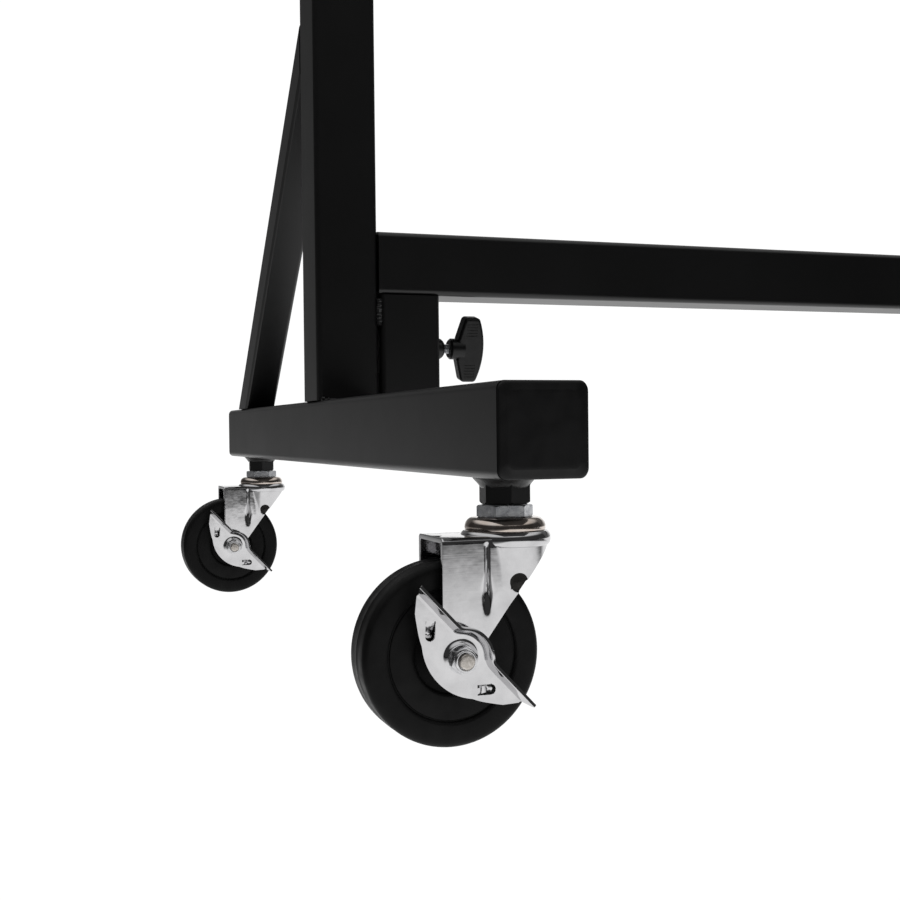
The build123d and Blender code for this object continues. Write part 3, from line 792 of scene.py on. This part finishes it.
def fork_mesh():
    """One pressing: top plate, two legs and the curved front between them."""
    path = fork_path()
    bend, bend_steps, rows = 2.6, 6, 54
    points = []
    for i in range(bend_steps + 1):
        angle = math.radians(90 * i / bend_steps)
        for (x, y), (nx, ny) in path:
            inset = bend * (1 - math.sin(angle))
            points.append((x - nx * inset, y - ny * inset, FORK_TOP - bend * (1 - math.cos(angle))))
    start_z = FORK_TOP - bend
    for row in range(1, rows + 1):
        for (x, y), (nx, ny) in path:
            end_z = min(start_z - 0.6, leg_bottom(x))
            z = start_z + (end_z - start_z) * row / rows
            out = fork_relief(x, z) * smooth_step(start_z, start_z - 2.5, z)
            points.append((x + nx * out, y + ny * out, z))
    columns = len(path)
    faces = grid_faces(bend_steps + 1 + rows, columns)
    faces.append(tuple(range(columns)))
    mesh = make_mesh("fork_mesh", (points, faces), CHROME, scale=MM, facing=Z_AXIS)
    mesh = pressed_sheet(mesh, FORK_SHEET, [dimple_part(-1), dimple_part(1)], 0.28)
    # Faces inside each dimple take painted shade: a dark colour in place of the shade that falls in the
    # dimple.
    mesh.materials.append(PAINTED_SHADE)
    for face in mesh.polygons:
        spot = face.center / MM
        reach = math.hypot(spot.x - DIMPLE_X, spot.z - DIMPLE_Z)
        if reach < DIMPLE_RADIUS + 0.05 and FORK_HALF - FORK_SHEET + 0.3 < abs(spot.y) < DIMPLE_FLOOR + 0.9:
            face.material_index = 1
    return mesh


def rim_part():
    """The cup of the fork round the ball race."""
    profile = [
        (20.0, -29.4), (21.0, -28.9), (21.9, -28.7), (22.9, -29.1), (23.7, -29.8), (24.3, -30.8),
        (24.6, -31.9), (24.7, -33.1), (24.6, -34.3), (24.3, -35.3), (23.8, -36.2), (23.1, -36.8),
        (22.2, -37.0), (21.0, -36.6),
    ]
    return lathe(profile, 128)


def wheel_part():
    """Hard rubber wheel: a tread with a parting line, turned shoulders, two ring steps and the hub."""
    half = [
        (6.06, 16.4), (11.3, 16.4), (12.0, 15.8), (12.4, 11.7), (13.0, 10.6), (14.2, 10.4),
        (19.3, 10.4), (20.3, 10.6), (20.9, 11.7), (21.6, 12.25), (22.7, 12.35),
        (33.5, 12.35), (34.3, 12.2), (34.7, 11.7), (35.1, 11.7), (35.5, 12.6), (36.2, 13.3), (37.4, 13.5),
        (44.2, 13.5),
    ]
    half += arc((45.2, 9.7), 3.8, 80, 0, 10)
    half += [(49.0, 6.0), (49.0, 0.35), (49.12, 0.0)]
    other = [(r, -z) for r, z in reversed(half[:-1])]
    return lathe(half + other, 160)


def axle_fasteners_part():
    """Head, shank, spacer, washer and domed lock nut of the axle bolt."""
    head = hex_part(AXLE_FLATS, -24.8, -19.5, bore=AXIS, bevel_high=False)
    shank = lathe([(AXIS, -20.5), (4.0, -20.5), (4.0, 32.9), (AXIS, 32.9)], 40)
    spacer = lathe([(4.1, 19.4), (8.0, 19.4), (8.0, 22.45), (4.1, 22.45)], 48)
    washer = lathe([(4.1, 25.95), (7.4, 25.95), (7.7, 26.1), (7.7, 26.5), (7.3, 26.8), (4.1, 26.8)], 64)
    nut = hex_part(AXLE_FLATS, 26.8, 31.7, turn=19.0, bore=4.1, bevel_low=False)
    dome = [(4.4, 30.5), (5.85, 30.5), (5.85, 32.7)] + arc((5.05, 32.7), 0.8, 0, 90, 6)
    dome += [(4.75, 33.45), (4.4, 33.1)]
    return across_axle(join_parts(head, shank, spacer, washer, nut, lathe(dome, 64)))


def bolt_end_part():
    """The cut end of the axle bolt, standing out of the lock nut."""
    profile = [(AXIS, 31.5), (3.95, 31.5), (3.95, 34.6)] + arc((3.45, 34.6), 0.5, 0, 80, 4)
    profile += [(2.7, 35.2), (AXIS, 35.2)]
    return across_axle(lathe(profile, 48))


def evenly_spaced(half_line, count, softness):
    """A half outline mirrored to both sides, as so many evenly spaced points, then softened so many times."""
    whole = np.array([(-x, y) for x, y in reversed(half_line[1:])] + half_line)
    steps = np.linalg.norm(np.diff(whole, axis=0), axis=1)
    lengths = np.concatenate(([0.0], np.cumsum(steps)))
    even = np.linspace(0.0, lengths[-1], count)
    line = np.column_stack([np.interp(even, lengths, whole[:, axis]) for axis in (0, 1)])
    for _ in range(softness):
        line[1:-1] = (line[:-2] + 2 * line[1:-1] + line[2:]) / 4
    return [Vector(spot) for spot in line]


def lever_outlines():
    """Upper and lower outline of the lever in its own plane, matched point by point from tip to tip."""
    columns, crest, ear = 160, 15.4, 9.2
    meet = math.sqrt(crest ** 2 - ear ** 2)
    crest_steps = int(math.degrees(math.asin(meet / crest)) / 3)
    upper_half = arc((0, 0), crest, 90, 90 - 3 * (crest_steps - 1), crest_steps - 1)
    upper_half += [(meet + (LEVER_TIP - meet) * i / 40, ear) for i in range(41)]
    lower_half = arc((0, 14.7), 31.7, -90, -50.9, 30)
    lower_half += [(21.5, -9.3), (23.0, -8.5), (25.0, -7.4), (27.5, -5.8), (30.0, -4.1), (32.4, -2.5),
                   (34.7, -0.8)]
    return evenly_spaced(upper_half, columns, 30), evenly_spaced(lower_half, columns, 4)


def lever_mesh():
    """Pressed brake lever: a plate with a raised boss, a flange flared out along its upper edge, and two
    windows. Heights are measured from the plate's outer face."""
    bend, sheet, edge_bevel = 1.5, 1.8, 0.22
    boss_height, boss_flat, boss_foot = 1.4, 6.8, 10.0
    flange_steps, bend_steps, plate_rows = 4, 6, 34
    upper, lower = lever_outlines()
    columns = len(upper)
    normals = []
    for i in range(columns):
        run = (upper[min(columns - 1, i + 1)] - upper[max(0, i - 1)]).normalized()
        normals.append(Vector((-run.y, run.x)))
    rows = []

    def add_flange_row(inwards, height):
        """The upper outline moved inwards. High up, its ends run on past the plate."""
        line = []
        for p, n in zip(upper, normals):
            run_on = 6.0 * smooth_step(30.0, LEVER_TIP, p.x) - 3.5 * smooth_step(-30.0, -LEVER_TIP, p.x)
            run_on *= smooth_step(0.0, FLANGE_HEIGHT, height)
            line.append((p.x - n.x * inwards + run_on, p.y - n.y * inwards, height))
        rows.append(line)

    for i in range(flange_steps + 1):
        height = FLANGE_HEIGHT + (bend - FLANGE_HEIGHT) * i / flange_steps
        add_flange_row(sheet - (height - bend) * FLANGE_FLARE, height)
    for i in range(1, bend_steps + 1):
        angle = math.radians(90 * i / bend_steps)
        add_flange_row(sheet + bend * (1 - math.cos(angle)), bend * (1 - math.sin(angle)))
    starts = [Vector(p[:2]) for p in rows[-1]]
    for row in range(1, plate_rows + 1):
        line = []
        for start, end in zip(starts, lower):
            spot = start.lerp(end, row / plate_rows)
            line.append((spot.x, spot.y, boss_height * (1 - smooth_step(boss_flat, boss_foot, spot.length))))
        rows.append(line)
    points = [p for row in rows for p in row]
    mesh = make_mesh("lever_mesh", (points, grid_faces(len(rows), columns)), CHROME, scale=MM, facing=Z_AXIS)
    return pressed_sheet(mesh, sheet, [window_part(side) for side in (-1, 1)], edge_bevel)


def window_spot(side):
    """Where a window lies in the lever's plane: its x runs from the straight end to the round one."""
    return Matrix.Translation((side * 22.2, -1.4, 0)) @ turn_matrix(side * (90 - LEVER_LEAN), "Z")


def window_part(side):
    """A cutter with one straight and one round end."""
    half_length, half_width, reach = 5.1, 2.7, 6.0
    outline = [(-half_length, half_width), (-half_length, -half_width)]
    outline += arc((half_length - half_width, 0), half_width, -90, 90, 12)
    points = [(x, y, z) for z in (-reach, reach) for x, y in outline]
    count = len(outline)
    faces = grid_faces(2, count, wrap_columns=True) + [tuple(range(count)), tuple(range(count, 2 * count))]
    return moved((points, faces), window_spot(side))


def tongue_part(side):
    """The tongue of a window, pressed in from its straight end, with a cupped round end."""
    start, length, half_width, depth, sheet = -5.25, 9.3, 2.25, 3.6, 1.0
    along_steps, across_steps = 14, 6
    points = []
    for layer in (0, 1):
        for i in range(along_steps + 1):
            share = i / along_steps
            x = start + length * share
            drop = -0.3 - depth * smooth_step(0.0, 0.8, share) + 1.2 * smooth_step(0.75, 1.0, share)
            narrow = math.sqrt(max(0.04, 1 - max(0.0, (share - 0.8) / 0.2) ** 2))
            for j in range(across_steps + 1):
                y = half_width * narrow * (2 * j / across_steps - 1)
                points.append((x, y, drop - 0.25 * (y / half_width) ** 2 - layer * sheet))
    rows, columns = along_steps + 1, across_steps + 1
    size = rows * columns
    faces = grid_faces(rows, columns)
    faces += [tuple(size + k for k in face) for face in faces]
    rim = list(range(columns)) + [i * columns + columns - 1 for i in range(1, rows)]
    rim += [(rows - 1) * columns + j for j in range(columns - 2, -1, -1)]
    rim += [i * columns for i in range(rows - 2, 0, -1)]
    for a, b in zip(rim, rim[1:] + rim[:1]):
        faces.append((a, b, size + b, size + a))
    return moved((points, faces), window_spot(side))


def lever_spot():
    """From the lever's own axes to the caster's. The lever's outer face is its zero height."""
    origin = Vector((AXLE_X, -(LEVER_PLATE + LEVER_SHEET), AXLE_Z)) * MM
    return Matrix.Translation(origin) @ turn_matrix(90, "X") @ turn_matrix(LEVER_LEAN - 90, "Z")


def build_casters():
    """Every caster piece is made once and stands at all four corners."""
    nut = hex_part(24.7, -15.0, -1.0, turn=23.0, bore=8.2, bevel_high=False)
    lever = lever_mesh()
    tongues = make_mesh("tongue_mesh", join_parts(tongue_part(-1), tongue_part(1)), CHROME, scale=MM)
    for mesh in (lever, tongues):
        mesh.transform(lever_spot())
    coat, zinc, chrome, rubber = "black_powder_coat", "zinc_plate", "chrome_plate", "hard_rubber"
    caster, wheel, brake = "{corner}_caster", "{corner}_rolling_wheel", "{corner}_brake"
    # name, part, material, smooth angle, body, slot and CAD node
    turned = [
        ("weld_nut", nut, COAT, 25, FRAME_BODY, coat, "caster_weld_nuts"),
        ("weld_collar", weld_collar_part(), WELD, 60, FRAME_BODY, coat, "caster_weld_nuts"),
        ("stem", stem_part(), ZINC, 25, FRAME_BODY, zinc, "caster_stems"),
        ("raceway", raceway_part(), RACEWAY, 40, FRAME_BODY, "raceway_chrome", "raceway_caps"),
        ("fork_rim", rim_part(), CHROME, 40, caster, chrome, "{corner}_fork"),
        ("axle_fasteners", axle_fasteners_part(), FASTENER, 30, caster, zinc, "{corner}_axle_set"),
        ("bolt_end", bolt_end_part(), BOLT_END, 30, caster, zinc, "{corner}_axle_set"),
        ("tyre", across_axle(wheel_part()), RUBBER, 40, wheel, rubber, "{corner}_wheel"),
    ]
    pieces = [(name, make_mesh(f"{name}_mesh", part, material, angle, MM), body, slot, node)
              for name, part, material, angle, body, slot, node in turned]
    pieces += [
        ("fork_pressing", fork_mesh(), caster, chrome, "{corner}_fork"),
        ("lever_pressing", lever, brake, chrome, "{corner}_brake_lever"),
        ("lever_tongues", tongues, brake, chrome, "{corner}_brake_lever"),
    ]
    for corner in CORNERS:
        spot = Matrix.Translation(JOINTS[f"{corner}_caster_swivel"]["pos_m"])
        if corner.endswith("right"):
            spot = spot @ turn_matrix(180, "Z")
        for name, mesh, body, slot, node in pieces:
            body, node = body.format(corner=corner), node.format(corner=corner)
            place(mesh, f"{corner}_{name}", body, spot, node)


build_casters()


# --- Clamp screws. Local millimetres along Z, from the face of the socket outwards ---

def build_clamps():
    """Weld nuts and threaded studs of the four clamp screws. The knobs keep their CAD mesh."""
    nut = [(4.05, 0), (9.8, 0), (9.4, 0.7), (8.9, 1.5), (8.7, 2.5), (8.7, 6.4), (8.4, 7.5), (7.7, 8.6),
           (6.7, 9.7), (5.5, 10.4), (4.05, 10.5)]
    nut_mesh = make_mesh("clamp_nut_mesh", lathe(nut, 64), WELD, 50, MM)
    stud = thread_part(radius=4.0, depth=0.6, pitch=1.25, low=-0.3, high=26.0)
    stud_mesh = make_mesh("clamp_stud_mesh", stud, ZINC, 40, MM)
    for level in LEVELS:
        for side, sign in SIDES:
            low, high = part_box(f"{side}_{level}_socket")
            face_x = high.x if side == "left" else low.x
            stud_low, stud_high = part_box(f"{level}_{side}_clamp_stud")
            middle = (stud_low + stud_high) / 2
            spot = Matrix.Translation((face_x, middle.y, middle.z)) @ turn_matrix(-90 * sign, "Y")
            at = f"{level}_{side}"
            place(nut_mesh, f"{at}_clamp_nut", FRAME_BODY, spot, "clamp_weld_nuts")
            place(stud_mesh, f"{at}_threaded_stud", f"{at}_knob", spot, f"{at}_clamp_stud")


build_clamps()


# --- CAD pieces that keep their own mesh ---

NODE_FINISHES = {
    "socket_spacers": (COAT, "black_powder_coat"),
    "clamp_pad": (BRASS, "brass_pad"),
    "knob_wing": (KNOB, "knob_plastic"),
    "swivel_balls": (BALL, "ball_steel"),
    "axle_sleeve": (ZINC, "zinc_plate"),
}
for node, piece in frame["nodes"].items():
    for ending, (material, slot) in NODE_FINISHES.items():
        if node.endswith(ending):
            piece.data.materials.clear()
            piece.data.materials.append(material)
            soften(piece.data, 30.0)


# --- Floor, light and camera ---

FLOOR_REACH = 60.0
CAMERA_WHITE = 1.05
SIDE_DARK = 0.04
BACKDROP_TURN = math.radians(25.0)

# How bright the floor is, by metres. Lengthways, by Y, it fades towards the viewer.
FLOOR_STOPS = ((-3.0, 0.03), (-2.2, 0.06), (-1.5, 0.2), (-1.1, 0.7), (-0.8, 0.95), (-0.6, 1.0), (0.0, 1.0))
# White cards lie before the side frames, by X off the middle.
CARD_STOPS = ((0.5, 0.06), (0.85, 0.12), (1.0, 0.9), (1.1, 1.0), (1.5, 1.0), (1.62, 0.25), (1.9, 0.06),
              (2.5, 0.06))
# Under the object and behind it, by Y, the floor is white between the side frames, by X off the middle.
BEHIND_STOPS = ((-0.42, 0.0), (-0.1, 1.0))
INSIDE_STOPS = ((0.0, 1.0), (1.45, 1.0), (1.58, 0.36), (1.9, 0.3), (2.5, 0.25))

# How bright the studio is, by the cosine of the angle away from the middle of the white backdrop, and from
# straight up.
BACKDROP_STOPS = ((-1.0, SIDE_DARK), (0.5, SIDE_DARK), (0.66, 0.11), (0.76, 0.12), (0.84, 0.19), (0.91, 0.5),
                  (0.96, 1.0), (1.0, 1.0))
OVERHEAD_STOPS = ((0.45, 0.0), (0.72, 0.75), (1.0, 0.75))


def grey(level):
    """That level as an opaque colour."""
    return (level, level, level, 1)


class LightNodes:
    """The nodes of something that gives light, joined up step by step from its place in the studio."""

    def __init__(self, tree, coordinates):
        self.nodes, self.links = tree.nodes, tree.links
        self.where = self.nodes.new("ShaderNodeTexCoord").outputs[coordinates]
        split = self.nodes.new("ShaderNodeSeparateXYZ")
        self.links.new(self.where, split.inputs["Vector"])
        self.x, self.y, self.z = (split.outputs[axis] for axis in "XYZ")

    def ramp(self, source, stops):
        """Turn a value into a grey level by way of that list of (value, level)."""
        low, high = stops[0][0], stops[-1][0]
        share = self.nodes.new("ShaderNodeMapRange")
        share.inputs["From Min"].default_value = low
        share.inputs["From Max"].default_value = high
        self.links.new(source, share.inputs["Value"])
        ramp = self.nodes.new("ShaderNodeValToRGB")
        ramp.color_ramp.interpolation = "EASE"
        self.links.new(share.outputs["Result"], ramp.inputs["Fac"])
        elements = ramp.color_ramp.elements
        for element, (_, level) in zip(elements, (stops[0], stops[-1])):
            element.color = grey(level)
        for value, level in stops[1:-1]:
            elements.new((value - low) / (high - low)).color = grey(level)
        return ramp.outputs["Color"]

    def blend(self, first, second, kind):
        """Two colours put together by a blend of that kind, at full strength."""
        mix = self.nodes.new("ShaderNodeMix")
        mix.data_type = "RGBA"
        mix.blend_type = kind
        mix.inputs["Factor"].default_value = 1.0
        self.links.new(first, mix.inputs["A"])
        self.links.new(second, mix.inputs["B"])
        return mix.outputs["Result"]

    def white_for_camera(self, level):
        """The level for reflections and shading, and plain white where the camera looks straight at it."""
        rays = self.nodes.new("ShaderNodeLightPath")
        mix = self.nodes.new("ShaderNodeMix")
        mix.data_type = "RGBA"
        self.links.new(rays.outputs["Is Camera Ray"], mix.inputs["Factor"])
        self.links.new(level, mix.inputs["A"])
        mix.inputs["B"].default_value = grey(CAMERA_WHITE)
        return mix.outputs["Result"]


def studio_floor():
    """A white floor under and behind the object that fades out a metre in front of it, where the white lies
    only before each side frame."""
    material = bpy.data.materials.new("studio_floor")
    material.use_nodes = True
    light = LightNodes(material.node_tree, "Object")
    light.nodes.remove(light.nodes["Principled BSDF"])
    off_middle = light.nodes.new("ShaderNodeMath")
    off_middle.operation = "ABSOLUTE"
    light.links.new(light.x, off_middle.inputs[0])
    off_middle = off_middle.outputs["Value"]
    under = light.blend(light.ramp(light.y, BEHIND_STOPS), light.ramp(off_middle, INSIDE_STOPS), "MULTIPLY")
    across = light.blend(light.ramp(off_middle, CARD_STOPS), under, "LIGHTEN")
    level = light.blend(light.ramp(light.y, FLOOR_STOPS), across, "MULTIPLY")
    glow = light.nodes.new("ShaderNodeEmission")
    light.links.new(light.white_for_camera(level), glow.inputs["Color"])
    light.links.new(glow.outputs["Emission"], light.nodes["Material Output"].inputs["Surface"])
    return material


def studio_world():
    """A studio with a white backdrop behind the object and a soft light overhead, dark otherwise."""
    world = bpy.data.worlds.new("studio")
    bpy.context.scene.world = world
    world.use_nodes = True
    light = LightNodes(world.node_tree, "Generated")
    towards = light.nodes.new("ShaderNodeVectorMath")
    towards.operation = "DOT_PRODUCT"
    light.links.new(light.where, towards.inputs[0])
    towards.inputs[1].default_value = (math.sin(BACKDROP_TURN), math.cos(BACKDROP_TURN), 0.0)
    backdrop = light.ramp(towards.outputs["Value"], BACKDROP_STOPS)
    level = light.blend(backdrop, light.ramp(light.z, OVERHEAD_STOPS), "LIGHTEN")
    light.links.new(light.white_for_camera(level), light.nodes["Background"].inputs["Color"])


floor_corners = [(x * FLOOR_REACH, y * FLOOR_REACH, 0) for x, y in ((-1, -1), (1, -1), (1, 1), (-1, 1))]
floor_mesh = make_mesh("floor", (floor_corners, [(0, 1, 2, 3)]), studio_floor(), facing=Z_AXIS)
place(floor_mesh, "floor", FRAME_BODY)
studio_world()

# The camera stands in front of the left frame; its place is measured from the lower front corner of the foot.
CAMERA_FROM_FOOT = Vector((-227.9, -571.3, 24.8)) * MM
CAMERA_YAW, CAMERA_PITCH, CAMERA_ROLL = 19.5, -0.87, -0.61
CAMERA_LENS = 49.83


def build_camera():
    """The camera, level along +Y before it is turned right, up and round its own axis."""
    data = bpy.data.cameras.new("camera")
    data.lens = CAMERA_LENS
    data.clip_start = 0.01
    data.clip_end = 500.0
    camera = bpy.data.objects.new("camera", data)
    bpy.context.scene.collection.objects.link(camera)
    eye = Vector((foot_low.x, foot_caps_low.y, foot_bottom)) + CAMERA_FROM_FOOT
    aim = turn_matrix(-CAMERA_YAW, "Z") @ turn_matrix(90 + CAMERA_PITCH, "X") @ turn_matrix(CAMERA_ROLL, "Z")
    camera.matrix_world = Matrix.Translation(eye) @ aim
    bpy.context.scene.camera = camera


build_camera()
bpy.context.scene.view_settings.view_transform = "Standard"
